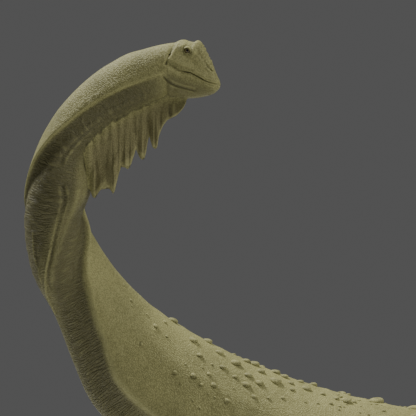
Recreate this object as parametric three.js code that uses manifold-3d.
// A giant titanosaur, a long-necked sauropod dinosaur, life-size, standing still with its head
// turned back over its shoulders. Lengths are in millimetres, +Z is up, and the trunk lies along
// X with the chest towards -X. Its left flank faces -Y.
import * as THREE from "three";
import { mergeVertices } from "three/addons/utils/BufferGeometryUtils.js";
import Module from "manifold-3d";

const wasm = await Module();
wasm.setup();

// Driving sizes
const GAP = 0.3; // clearance between neighbouring pieces
const SNOUT_TO_EAR = 757;
const HEAD_TILT = 20; // degrees, nose down
const HEAD_TURN = 6; // degrees, towards the left flank's side
const EAR_END = [-545, -1045, 9340]; // where the head meets the neck, on the spine line
const EYE_RADIUS = 46;
const LID_THICKNESS = 11;
const MOUTH_GAP = 14;
const MOUTH_DEPTH = 26;
const THIGH_CUT = 1900; // height of the cut between trunk and legs, just under the belly
const SCUTE_SEED = 11;
const SCUTE_REACH = 120; // how far out of the skin a scute may stand

// The spine, from the tail's tip to the back of the head. Each row holds a place on the spine
// (x, y, z), the bearing of the left flank in degrees, the half width, the height above the
// spine and the depth below it, the strength of the ledge along the neck and of the throat keel.
const SPINE = [
  [15200, 760, 2330, 270, 14, 15, 15, 0, 0],
  [14000, 600, 2330, 270, 62, 68, 68, 0, 0],
  [12700, 400, 2400, 270, 118, 130, 128, 0, 0],
  [11300, 215, 2510, 270, 190, 210, 205, 0, 0],
  [9900, 80, 2660, 270, 275, 305, 292, 0, 0],
  [8500, 10, 2840, 270, 390, 440, 412, 0, 0],
  [7250, 0, 3000, 270, 560, 640, 600, 0, 0],
  [6250, 0, 3110, 270, 820, 930, 800, 0, 0],
  [5300, 0, 3150, 270, 1060, 1110, 960, 0, 0],
  [4300, 0, 3140, 270, 1200, 1190, 1140, 0, 0],
  [3300, 0, 3180, 270, 1230, 1240, 1190, 0, 0],
  [2400, 0, 3270, 270, 1180, 1310, 1210, 0, 0],
  [1600, 0, 3430, 270, 1060, 1340, 1270, 0, 0],
  [850, 0, 3740, 270, 930, 1274, 1220, 0.1, 0.1],
  [150, 0, 4200, 270, 820, 1118, 1095, 0.4, 0.2],
  [-450, 0, 4690, 271, 730, 938, 972, 0.7, 0.3],
  [-955, -10, 5210, 275, 650, 748, 945, 1, 0.4],
  [-1390, -60, 5740, 284, 590, 590, 742, 1, 0.5],
  [-1750, -160, 6260, 303, 550, 500, 585, 1, 0.55],
  [-2035, -320, 6780, 336, 488, 450, 612, 1, 0.5],
  [-2158, -510, 7280, 374, 420, 415, 526, 1, 0.3],
  [-2086, -690, 7780, 403, 425, 376, 570, 1, 0.4],
  [-1990, -830, 8235, 419, 375, 318, 405, 1, 0.5],
  [-1750, -930, 8605, 431, 345, 318, 370, 1, 0.5],
  [-1405, -990, 8920, 437, 320, 338, 372, 1, 0.5],
  [-1015, -1025, 9155, 441, 298, 352, 385, 0.9, 0.4],
  [-750, -1040, 9265, 442, 280, 320, 385, 0.6, 0.3],
];

// The head, on its own straight line from ear to snout: the share of the head's length, the
// half width, the height above that line and the depth below it.
const HEAD = [
  [0, 262, 301, 388],
  [0.13, 242, 398, 385],
  [0.25, 231, 410, 371],
  [0.36, 214, 463, 352],
  [0.44, 204, 452, 340],
  [0.52, 196, 403, 328],
  [0.62, 186, 332, 298],
  [0.73, 174, 250, 256],
  [0.84, 156, 172, 208],
  [0.92, 132, 110, 162],
  [0.965, 100, 68, 126],
  [0.99, 52, 22, 86],
];

// Relief of the head, raised or sunk sideways on both cheeks. Each form follows a line of points
// (distance ahead of the ear end, height above the head's line) and fades over its spread.
const RELIEF = {
  brow: { raise: 30, spread: 34, line: [[105, 300], [145, 344], [206, 360], [262, 332], [292, 282]] },
  eye_hollow: { raise: -11, spread: 60, line: [[207, 262], [213, 252]] },
  cheek_ridge: { raise: 16, spread: 28, line: [[10, 90], [60, 92], [122, 90], [213, 84], [327, 72], [447, 49], [543, 28]] },
  cheek_hollow: { raise: -14, spread: 32, line: [[50, 40], [100, 22], [150, 10], [200, -4], [250, -13]] },
  jaw_muscle: { raise: 12, spread: 62, line: [[90, -70], [200, -95], [330, -100]] },
  jaw_crease: { raise: -20, spread: 17, line: [[46, -172], [120, -208], [193, -222], [318, -214], [478, -200]] },
  nape_crease: { raise: -15, spread: 15, line: [[15, 290], [12, 212], [11, 150]] },
  snout_flesh: { raise: 11, spread: 34, line: [[300, 400], [390, 330], [480, 262], [560, 205], [650, 130]] },
  upper_lip: { raise: 10, spread: 28, line: [[400, 30], [470, 20], [562, 4], [650, 2], [740, 16]] },
  lower_lip: { raise: 10, spread: 26, line: [[300, -40], [450, -54], [562, -72], [700, -62]] },
};
const MOUTH = [
  [110, 20], [165, 7], [233, -10], [295, -6], [352, 3], [410, -4], [470, -15],
  [531, -26], [588, -33], [640, -31], [700, -26], [790, -10],
];
const EYE_AT = [206, 264];
const EAR_AT = [11, 136];
const NOSTRIL_AT = [540, 196];

const radians = THREE.MathUtils.degToRad;
const cosTurn = Math.cos(radians(HEAD_TURN));
const sinTurn = Math.sin(radians(HEAD_TURN));
const cosTilt = Math.cos(radians(HEAD_TILT));
const sinTilt = Math.sin(radians(HEAD_TILT));
const AHEAD = new THREE.Vector3(cosTurn * cosTilt, -sinTurn * cosTilt, -sinTilt);
const HEAD_LEFT = new THREE.Vector3(sinTurn, cosTurn, 0);
const CROWN = new THREE.Vector3().crossVectors(AHEAD, HEAD_LEFT);

// A place in the head: ahead of the ear end, above the head's line, out towards the left.
function headPoint(ahead, up = 0, out = 0) {
  return new THREE.Vector3(...EAR_END)
    .addScaledVector(AHEAD, ahead)
    .addScaledVector(CROWN, up)
    .addScaledVector(HEAD_LEFT, out);
}

// Body stations: the spine's rows, then the head's in the same form.
const STATIONS = [
  ...SPINE,
  ...HEAD.map(([share, wide, top, low]) => [
    ...headPoint(share * SNOUT_TO_EAR).toArray(), 450 - HEAD_TURN, wide, top, low, share < 0.1 ? 0.3 : 0, 0,
  ]),
];
const HEAD_START = SPINE.length;
const SNOUT = STATIONS.length - 1;

// A smooth curve through the stations, at a place counted in stations.
function station(place) {
  const i = Math.min(Math.floor(place), STATIONS.length - 2);
  const t = place - i;
  const row = (k) => STATIONS[THREE.MathUtils.clamp(k, 0, STATIONS.length - 1)];
  const [a, b, c, d] = [row(i - 1), row(i), row(i + 1), row(i + 2)];
  return b.map((_, k) => 0.5 * (2 * b[k] + (c[k] - a[k]) * t
    + (2 * a[k] - 5 * b[k] + 4 * c[k] - d[k]) * t * t + (3 * b[k] - a[k] - 3 * c[k] + d[k]) * t * t * t));
}

// The directions of a section. They follow the spine a whole station either way, so that
// sections don't cross where the neck bends into the head.
function frameAt(place) {
  const ahead = station(Math.min(place + 1, SNOUT));
  const behind = station(Math.max(place - 1, 0));
  const forward = new THREE.Vector3(...ahead.slice(0, 3)).sub(new THREE.Vector3(...behind.slice(0, 3))).normalize();
  const row = station(place);
  const left = new THREE.Vector3(Math.cos(radians(row[3])), Math.sin(radians(row[3])), 0);
  left.addScaledVector(forward, -left.dot(forward)).normalize();
  return { row, forward, left, up: new THREE.Vector3().crossVectors(forward, left) };
}

const bell = (x) => Math.exp(-x * x);

// Where the ledge lies on each side: rows of a place and the angle of the ledge from the back. On
// the twisted neck the two sides differ.
const LEDGE_LEFT = [
  [13, 98], [14.5, 103], [15.4, 111], [16.2, 114], [17, 110], [18.5, 110],
  [19.4, 99], [21, 84], [23, 90], [26, 102],
];
const LEDGE_RIGHT = [
  [13, 97], [15.5, 95], [18, 80], [20, 66], [21, 69], [22.1, 87], [23.5, 101], [25.2, 108], [27, 109],
];

function ledgeAt(place, side) {
  const rows = side < 0 ? LEDGE_RIGHT : LEDGE_LEFT;
  const above = rows.findIndex((row) => row[0] > place);
  if (above < 1) return rows.at(above < 0 ? -1 : 0)[1];
  const [start, startAngle] = rows[above - 1];
  const [end, endAngle] = rows[above];
  return THREE.MathUtils.mapLinear(place, start, end, startAngle, endAngle);
}

// Half width over plain width, at an angle from the back in degrees: the ledge along the neck
// stands out over a groove, and the flank draws in towards the throat keel.
function flankShape(place, angle, side, ledge, keel) {
  const drawn = THREE.MathUtils.smoothstep(angle, 104, 172);
  const shelf = ledgeAt(place, side);
  const raised = 0.08 * bell((angle - shelf + 6) / 14) - 0.15 * bell((angle - shelf - 16) / 14);
  return 1 + ledge * raised - 0.34 * keel * drawn;
}

function distanceTo(line, x, y) {
  let nearest = Infinity;
  for (let i = 0; i + 1 < line.length; i++) {
    const [ax, ay] = line[i];
    const [bx, by] = [line[i + 1][0] - ax, line[i + 1][1] - ay];
    const t = THREE.MathUtils.clamp(((x - ax) * bx + (y - ay) * by) / (bx * bx + by * by), 0, 1);
    nearest = Math.min(nearest, Math.hypot(x - ax - t * bx, y - ay - t * by));
  }
  return nearest;
}

function relief(point) {
  const from = point.clone().sub(new THREE.Vector3(...EAR_END));
  const [ahead, up] = [from.dot(AHEAD), from.dot(CROWN)];
  return Object.values(RELIEF).reduce((sum, { raise, spread: wide, line }) =>
    sum + raise * bell(distanceTo(line, ahead, up) / wide), 0);
}

// A point of the skin: place along the body, angle from the back towards the left flank.
function skin(place, angle, grow = 0) {
  const { row, left, up } = frameAt(place);
  const [x, y, z, , wide, top, low, ledge, keel] = row;
  const side = Math.sin(radians(angle));
  const rise = Math.cos(radians(angle));
  const out = (wide + grow) * side * flankShape(place, Math.abs(angle), side, ledge, keel);
  const lift = rise > 0 ? (top + grow) * rise : (low + grow) * rise;
  const point = new THREE.Vector3(x, y, z).addScaledVector(left, out).addScaledVector(up, lift);
  return place < HEAD_START - 2 ? point : point.addScaledVector(left, Math.sin(radians(angle)) * relief(point));
}

// Angles round a section, close together at the ledge and its groove.
const HALF_ROUND = [0, 20, 38, 55, 70, 82, 92, 101, 111, 124, 142, 161, 180];
const bothSides = (halves) => [...halves, ...halves.slice(1, -1).reverse().map((angle) => -angle)];
const ROUND = bothSides(HALF_ROUND);
const HEAD_ROUND = bothSides([0, 12, 24, 34, 44, 54, 64, 74, 84, 94, 104, 114, 124, 136, 150, 165, 180]);

// A closed tube: one ring for each place, with flat or pointed ends. A sphere's rows are laid
// along the rings, so its two poles close the ends.
function tube(places, sides, ringPoint, endPoint) {
  const geometry = new THREE.SphereGeometry(1, sides, places.length + 1);
  const position = geometry.attributes.position;
  for (let row = 0; row <= places.length + 1; row++) {
    for (let column = 0; column <= sides; column++) {
      const point = row === 0 ? endPoint(places[0])
        : row === places.length + 1 ? endPoint(places.at(-1))
          : ringPoint(places[row - 1], column % sides);
      position.setXYZ(row * (sides + 1) + column, point.x, point.y, point.z);
    }
  }
  return geometry;
}

function bare(geometry) {
  const clean = geometry.clone();
  clean.deleteAttribute("normal");
  clean.deleteAttribute("uv");
  return mergeVertices(clean, 0.005);
}

function solid(geometry) {
  const closed = bare(geometry);
  const make = (triVerts) => new wasm.Manifold(new wasm.Mesh({
    numProp: 3, vertProperties: closed.attributes.position.array, triVerts,
  }));
  const made = make(new Uint32Array(closed.index.array));
  if (made.volume() > 0) return made;
  return make(new Uint32Array(closed.index.array).reverse());
}

function largest(body) {
  return body.decompose().sort((a, b) => b.volume() - a.volume())[0];
}

const animal = new THREE.Group();
const HIDE = new THREE.MeshStandardMaterial({ color: 0x8c8655, roughness: 0.85, metalness: 0 });
const HORN = new THREE.MeshStandardMaterial({ color: 0x6f6a48, roughness: 0.6, metalness: 0 });
const EYE = new THREE.MeshStandardMaterial({ color: 0x57542f, roughness: 0.25, metalness: 0 });

function addNode(name, body, material) {
  const { vertProperties, triVerts } = largest(body).getMesh();
  const geometry = new THREE.BufferGeometry();
  geometry.setAttribute("position", new THREE.BufferAttribute(new Float32Array(vertProperties), 3));
  geometry.setIndex(new THREE.BufferAttribute(new Uint32Array(triVerts), 1));
  const mesh = new THREE.Mesh(geometry, material);
  mesh.name = name;
  animal.add(mesh);
}

// Lengths of the body, each between two places on the spine, with its number of rings.
const LENGTHS = {
  tail_tip: [0, 2.4, 6],
  tail_end: [2.4, 4.4, 5],
  tail_middle: [4.4, 5.7, 4],
  tail_base: [5.7, 6.8, 5],
  rump: [6.8, 9.2, 8],
  chest: [9.2, 13.2, 13],
  neck_base: [13.2, 15.4, 7],
  neck_lower: [15.4, 18, 9],
  neck_middle: [18, 21.2, 13],
  neck_upper: [21.2, 26.2, 15],
  head: [26.2, SNOUT, 32],
};

function spread(from, to, count) {
  return Array.from({ length: count }, (_, i) => from + ((to - from) * i) / (count - 1));
}

// Places an equal stretch of body apart.
function evenPlaces(from, to, count) {
  const fine = spread(from, to, 400);
  const run = [0];
  for (let i = 1; i < fine.length; i++) {
    const [a, b] = [station(fine[i - 1]), station(fine[i])];
    run.push(run[i - 1] + Math.hypot(b[0] - a[0], b[1] - a[1], b[2] - a[2]));
  }
  return spread(0, run.at(-1), count).map((target, i) => {
    if (i === 0) return from;
    if (i === count - 1) return to;
    return fine[run.findIndex((value) => value >= target)];
  });
}

// The end rings stand back by half the clearance; the tail's tip and the snout are blunt points.
function bodyLength(name, grow = 0, setBack = GAP / 2) {
  const places = evenPlaces(...LENGTHS[name]);
  const set = (place, sign) => {
    const near = station(place);
    const next = station(place + sign * 0.1);
    return place + (sign * 0.1 * setBack) / Math.hypot(next[0] - near[0], next[1] - near[1], next[2] - near[2]);
  };
  if (places[0] > 0) places[0] = set(places[0], 1);
  if (places.at(-1) < SNOUT) places[places.length - 1] = set(places.at(-1), -1);
  const angles = name === "head" ? HEAD_ROUND : ROUND;
  const centre = (place) => (place === SNOUT
    ? headPoint(SNOUT_TO_EAR + grow, -34)
    : new THREE.Vector3(...station(place).slice(0, 3)));
  return solid(tube(places, angles.length, (place, i) => skin(place, angles[i], grow), centre));
}

// Features of the head
const headRow = (share) => {
  const i = Math.max(1, HEAD.findIndex((row) => row[0] >= share));
  const t = (share - HEAD[i - 1][0]) / (HEAD[i][0] - HEAD[i - 1][0]);
  return HEAD[i - 1].map((value, k) => value + (HEAD[i][k] - value) * t);
};

// How far out the cheek lies at a place given ahead of the ear and above the head's line.
function cheekOut(ahead, up) {
  const [, wide, top, low] = headRow(Math.max(0, ahead / SNOUT_TO_EAR));
  const rise = up > 0 ? up / top : up / low;
  return wide * Math.sqrt(Math.max(0, 1 - rise * rise));
}

function oval([ahead, up], side, [long, high, deep], lean = 0) {
  const geometry = new THREE.SphereGeometry(1, 10, 6);
  const position = geometry.attributes.position;
  const [c, s] = [Math.cos(radians(lean)), Math.sin(radians(lean))];
  const out = cheekOut(ahead, up);
  for (let i = 0; i < position.count; i++) {
    const [a, h] = [long * position.getX(i), high * position.getY(i)];
    const point = headPoint(ahead + a * c - h * s, up + a * s + h * c, side * (out + deep * position.getZ(i)));
    position.setXYZ(i, point.x, point.y, point.z);
  }
  return solid(geometry);
}

function ball(radius, side) {
  const geometry = new THREE.SphereGeometry(radius, 16, 10);
  const centre = headPoint(...EYE_AT, side * eyeOut);
  geometry.translate(centre.x, centre.y, centre.z);
  return solid(geometry);
}

const eyeOut = cheekOut(...EYE_AT) - 36;

// The opening between the lids: an almond that widens outwards, so that it clears the ball.
function lidOpening(side) {
  const places = [0, 1];
  const ringPoint = (t, i) => {
    const around = (2 * Math.PI * i) / 12;
    const size = 22 + 30 * t;
    const ahead = size * Math.cos(around);
    const high = 0.72 * size * Math.sin(around) * (1 - 0.35 * Math.cos(around) ** 2);
    return headPoint(EYE_AT[0] + ahead, EYE_AT[1] + high, side * (eyeOut + 24 + 60 * t));
  };
  const endPoint = (t) => headPoint(...EYE_AT, side * (eyeOut + 24 + 60 * t));
  return solid(tube(places, 12, ringPoint, endPoint));
}

// The mouth line: a band along the line's course right through the head, less the head's core.
function mouthLine() {
  const ringPoint = (k, i) => {
    const [before, after] = [MOUTH[Math.max(0, k - 1)], MOUTH[Math.min(MOUTH.length - 1, k + 1)]];
    const run = Math.hypot(after[0] - before[0], after[1] - before[1]);
    const across = [-(after[1] - before[1]) / run, (after[0] - before[0]) / run];
    const reach = (i === 0 || i === 3 ? 1 : -1) * (k === 0 ? 0.2 : 0.5) * MOUTH_GAP;
    const out = i < 2 ? -400 : 400;
    return headPoint(MOUTH[k][0] + across[0] * reach, MOUTH[k][1] + across[1] * reach, out);
  };
  const endPoint = (k) => headPoint(...MOUTH[k]);
  return solid(tube(MOUTH.map((_, k) => k), 4, ringPoint, endPoint));
}

function headNode() {
  let head = bodyLength("head");
  for (const side of [-1, 1]) {
    head = head.add(ball(EYE_RADIUS + LID_THICKNESS, side))
      .subtract(ball(EYE_RADIUS + GAP, side))
      .subtract(lidOpening(side))
      .subtract(oval(EAR_AT, side, [9, 27, 34], -28))
      .subtract(oval(NOSTRIL_AT, side, [30, 15, 24], -28));
  }
  return head.subtract(mouthLine().subtract(bodyLength("head", -MOUTH_DEPTH)));
}

// Dewlap: a skirt of thin skin that hangs straight down from the throat and upper neck. Each row
// is a point of its free edge (x, z), from the jaw back along the throat.
const DEWLAP_EDGE = [
  [-285, 8862], [-338, 8762], [-430, 8670], [-550, 8618], [-617, 8525], [-668, 8389], [-688, 8255], [-711, 8224],
  [-750, 8245], [-776, 8322], [-796, 8398], [-818, 8330], [-840, 8180], [-862, 8095], [-892, 8078], [-931, 8110],
  [-978, 8225], [-998, 8150], [-1043, 8017], [-1081, 7946], [-1129, 7975], [-1179, 7983], [-1215, 7870],
  [-1257, 7677], [-1283, 7613], [-1336, 7691], [-1454, 7675], [-1498, 7619], [-1540, 7555], [-1582, 7585],
  [-1640, 7690],
];
// From the root to the free edge: the share of the way down and the half thickness, which at the
// root is greater towards the back.
const DEWLAP_STEPS = [[0, 34, 130], [0.35, 22, 70], [0.7, 15, 24], [1, 9, 9]];

function placeUnder(x) {
  let [from, to] = [20.5, HEAD_START + 6];
  for (let i = 0; i < 40; i++) {
    const middle = (from + to) / 2;
    if (skin(middle, 180).x < x) from = middle;
    else to = middle;
  }
  return from;
}

function dewlap() {
  const columns = DEWLAP_EDGE.map(([x, z], k) => {
    const root = skin(placeUnder(x), 180, -90);
    return { root, edge: new THREE.Vector3(x, root.y + 34 * Math.sin(k * 1.9), z - 9) };
  });
  const ringPoint = (k, i) => {
    const { root, edge } = columns[k];
    const [share, front, back] = DEWLAP_STEPS[i < 4 ? i : 7 - i];
    const thick = THREE.MathUtils.lerp(front, back, THREE.MathUtils.smoothstep(-root.x, 700, 1600));
    return root.clone().lerp(edge, share).add(new THREE.Vector3(0, i < 4 ? -thick : thick, 0));
  };
  const endPoint = (k) => columns[k].root.clone().lerp(columns[k].edge, 0.5);
  return solid(tube(columns.map((_, k) => k), 8, ringPoint, endPoint));
}

// Scutes: oval bony plates set in the skin, low in front and steepest behind, sunk by half.
function scute(place, angle, length) {
  const centre = skin(place, angle);
  const step = 0.02;
  const back = skin(place - step, angle).sub(centre).normalize();
  const across = skin(place, angle + 1).sub(centre).normalize();
  const out = new THREE.Vector3().crossVectors(across, back).normalize();
  const geometry = new THREE.SphereGeometry(1, 7, 3);
  const position = geometry.attributes.position;
  const half = length / 2;
  for (let i = 0; i < position.count; i++) {
    const [a, b, h] = [position.getX(i), position.getZ(i), position.getY(i)];
    const point = centre.clone()
      .addScaledVector(back, half * (a + 0.45 * h))
      .addScaledVector(across, half * 0.72 * b)
      .addScaledVector(out, half * 0.58 * h);
    position.setXYZ(i, point.x, point.y, point.z);
  }
  return solid(geometry);
}

function seeded(seed) {
  let state = seed;
  return () => {
    state = (state * 1664525 + 1013904223) % 4294967296;
    return state / 4294967296;
  };
}

// The scutes that show on the neck's base and the shoulders: place, angle and length of each.
const SCUTES_SEEN = [
  [12.28, 16, 70], [12.64, 15, 70], [12.86, -5, 100], [13.04, 15, 105], [13.19, 3, 85],
  [13.33, 24, 70], [13.39, 15, 70], [13.55, 6, 100], [13.7, 22, 140], [13.75, 3, 115],
  [13.93, 48, 70], [13.97, 33, 105], [14.05, 16, 100], [14.18, 41, 100], [14.23, 5, 130],
  [14.24, 30, 100], [14.31, 62, 75], [14.41, 6, 100], [14.45, 39, 70], [14.59, 22, 130],
  [14.69, 57, 85], [14.76, 36, 90], [14.99, 18, 105], [15.12, 61, 85], [15.3, 39, 80],
  [15.32, 2, 115], [15.44, 70, 70], [15.61, 24, 115], [16.21, 6, 125], [16.44, 46, 70],
];

// Rows of scutes over the rest of the back: the places they run between, and how far down the
// flanks they reach.
const SCUTE_ROWS = [
  { from: 9.7, to: 12, rows: 4, reach: 50, length: 170 },
  { from: 7.2, to: 8.9, rows: 3, reach: 50, length: 170 },
  { from: 5.95, to: 6.5, rows: 2, reach: 46, length: 130 },
];

// Every scute. The right side has the left side's scutes, a little out of true.
function scutePlaces() {
  const random = seeded(SCUTE_SEED);
  const right = SCUTES_SEEN.filter(([, angle]) => angle > 9).map(([place, angle, length]) =>
    [place + 0.2 * (random() - 0.5), -angle - 6 * random(), length * (0.8 + 0.4 * random())]);
  const behind = SCUTE_ROWS.flatMap(({ from, to, rows, reach, length }) =>
    spread(from, to, rows).flatMap((place, row) => spread(-reach, reach, row % 2 ? 4 : 3).map((angle) => {
      const size = length * (0.8 + 0.4 * random()) * (1 - 0.3 * Math.abs(angle) / reach);
      return [place + 0.12 * (random() - 0.5), angle + 7 * (random() - 0.5), size];
    })));
  return [...SCUTES_SEEN, ...right, ...behind];
}

// The scutes of one length of the body. One that lies across a cut is shared with the next length.
function scutesOf(name, scutes) {
  const [from, to] = LENGTHS[name];
  const own = scutes.filter(([place]) => place > from - 0.15 && place < to + 0.15);
  if (!own.length) return [];
  const joined = own.map((row) => scute(...row)).reduce((sum, piece) => sum.add(piece));
  return [joined.intersect(bodyLength(name, SCUTE_REACH))];
}

// Legs: upright columns. Each row holds a height, the place of the centre (x and distance from
// the midline), and the half length and half width there.
const FORELEG = [
  [0, 1660, 825, 300, 276],
  [80, 1660, 825, 318, 292],
  [260, 1668, 825, 286, 262],
  [520, 1688, 825, 266, 242],
  [900, 1704, 830, 296, 262],
  [1250, 1690, 840, 352, 296],
  [1600, 1655, 850, 400, 322],
  [2000, 1605, 852, 466, 346],
  [2400, 1565, 830, 520, 360],
  [2850, 1520, 740, 560, 340],
  [3200, 1500, 600, 420, 240],
];
const HIND_LEG = [
  [0, 5225, 795, 420, 330],
  [80, 5225, 795, 438, 346],
  [240, 5262, 795, 366, 306],
  [470, 5300, 795, 300, 272],
  [800, 5276, 798, 322, 284],
  [1120, 5235, 804, 386, 316],
  [1450, 5242, 812, 456, 350],
  [1850, 5262, 812, 556, 388],
  [2250, 5262, 790, 624, 404],
  [2700, 5250, 720, 690, 400],
  [3150, 5250, 600, 560, 300],
];
const LEG_SIDES = 18;

function legRow(rows, height) {
  const above = Math.max(1, rows.findIndex((row) => row[0] >= height));
  const [a, b] = [rows[above - 1], rows[above]];
  const t = (height - a[0]) / (b[0] - a[0]);
  return a.map((value, k) => value + (b[k] - value) * t);
}

function legLength(rows, side, from, to, grow = 0) {
  const heights = [from, ...rows.map((row) => row[0]).filter((h) => h > from + 30 && h < to - 30), to];
  const ringPoint = (height, i) => {
    const [, x, apart, long, wide] = legRow(rows, height);
    const angle = (2 * Math.PI * i) / LEG_SIDES;
    return new THREE.Vector3(x + (long + grow) * Math.cos(angle), side * apart + (wide + grow) * Math.sin(angle), height);
  };
  const endPoint = (height) => {
    const [, x, apart] = legRow(rows, height);
    return new THREE.Vector3(x, side * apart, height);
  };
  return solid(tube(heights, LEG_SIDES, ringPoint, endPoint));
}

const SIDES = { left: -1, right: 1 };
const half = GAP / 2;
const top = (rows) => rows.at(-1)[0];
const LEGS = {
  fore: { rows: FORELEG, bend: 1250, foot: 300, trunk: "chest" },
  hind: { rows: HIND_LEG, bend: 1120, foot: 340, trunk: "rump" },
};

for (const [pair, { rows, bend, foot }] of Object.entries(LEGS)) {
  for (const [name, side] of Object.entries(SIDES)) {
    addNode(`${pair}leg_upper_${name}`, legLength(rows, side, bend + half, THIGH_CUT - half), HIDE);
    addNode(`${pair}leg_lower_${name}`, legLength(rows, side, foot + half, bend - half), HIDE);
    addNode(`${pair}foot_${name}`, legLength(rows, side, 0, foot - half), HIDE);
  }
}

// Claws: three on the inner and front edge of each hind foot, curved down. Titanosaurs had none
// on the forefeet.
const CLAWS = [
  { turn: -8, length: 250, thick: 62 },
  { turn: 24, length: 225, thick: 56 },
  { turn: 52, length: 190, thick: 50 },
];

function claw(side, { turn, length, thick }) {
  const [, x, apart, long, wide] = legRow(HIND_LEG, 110);
  const angle = Math.PI - side * radians(turn);
  const out = new THREE.Vector3(Math.cos(angle), Math.sin(angle), 0);
  const root = new THREE.Vector3(x + (long - 70) * out.x, side * apart + (wide - 50) * out.y, 150);
  const across = new THREE.Vector3(-out.y, out.x, 0);
  const places = spread(0, 1, 5);
  const ringPoint = (t, i) => {
    const around = (2 * Math.PI * i) / 8;
    const radius = thick * Math.max(0.07, Math.cos((t * Math.PI) / 2));
    return root.clone()
      .addScaledVector(out, length * t)
      .addScaledVector(across, 0.62 * radius * Math.cos(around))
      .add(new THREE.Vector3(0, 0, radius * Math.sin(around) - 118 * t * t));
  };
  const endPoint = (t) => ringPoint(t, 0).add(ringPoint(t, 4)).multiplyScalar(0.5);
  return solid(tube(places, 8, ringPoint, endPoint));
}

for (const [name, side] of Object.entries(SIDES)) {
  const foot = legLength(HIND_LEG, side, 0, LEGS.hind.foot + 1, GAP);
  CLAWS.forEach((size, i) => addNode(`claw_${name}_${i + 1}`, claw(side, size).subtract(foot), HORN));
}

// Head, eyes and dewlap
addNode("head", headNode(), HIDE);
addNode("eye_left", ball(EYE_RADIUS, 1), EYE);
addNode("eye_right", ball(EYE_RADIUS, -1), EYE);
const neckBehind = ["head", "neck_upper", "neck_middle"].map((name) => bodyLength(name, 3 * GAP, -1));
addNode("dewlap", neckBehind.reduce((sheet, piece) => sheet.subtract(piece), dewlap()), HIDE);

// Trunk, neck and tail
const scutes = scutePlaces();
for (const name of Object.keys(LENGTHS).filter((length) => length !== "head")) {
  const pieces = [bodyLength(name)];
  for (const { rows, trunk } of Object.values(LEGS)) {
    if (trunk === name) {
      for (const side of Object.values(SIDES)) pieces.push(legLength(rows, side, THIGH_CUT + half, top(rows)));
    }
  }
  pieces.push(...scutesOf(name, scutes));
  addNode(name, pieces.reduce((sum, piece) => sum.add(piece)), HIDE);
}

// The origin lies on the floor under the middle of the whole animal.
const middle = new THREE.Box3().setFromObject(animal).getCenter(new THREE.Vector3());
animal.position.set(-middle.x, -middle.y, 0);

export default animal;
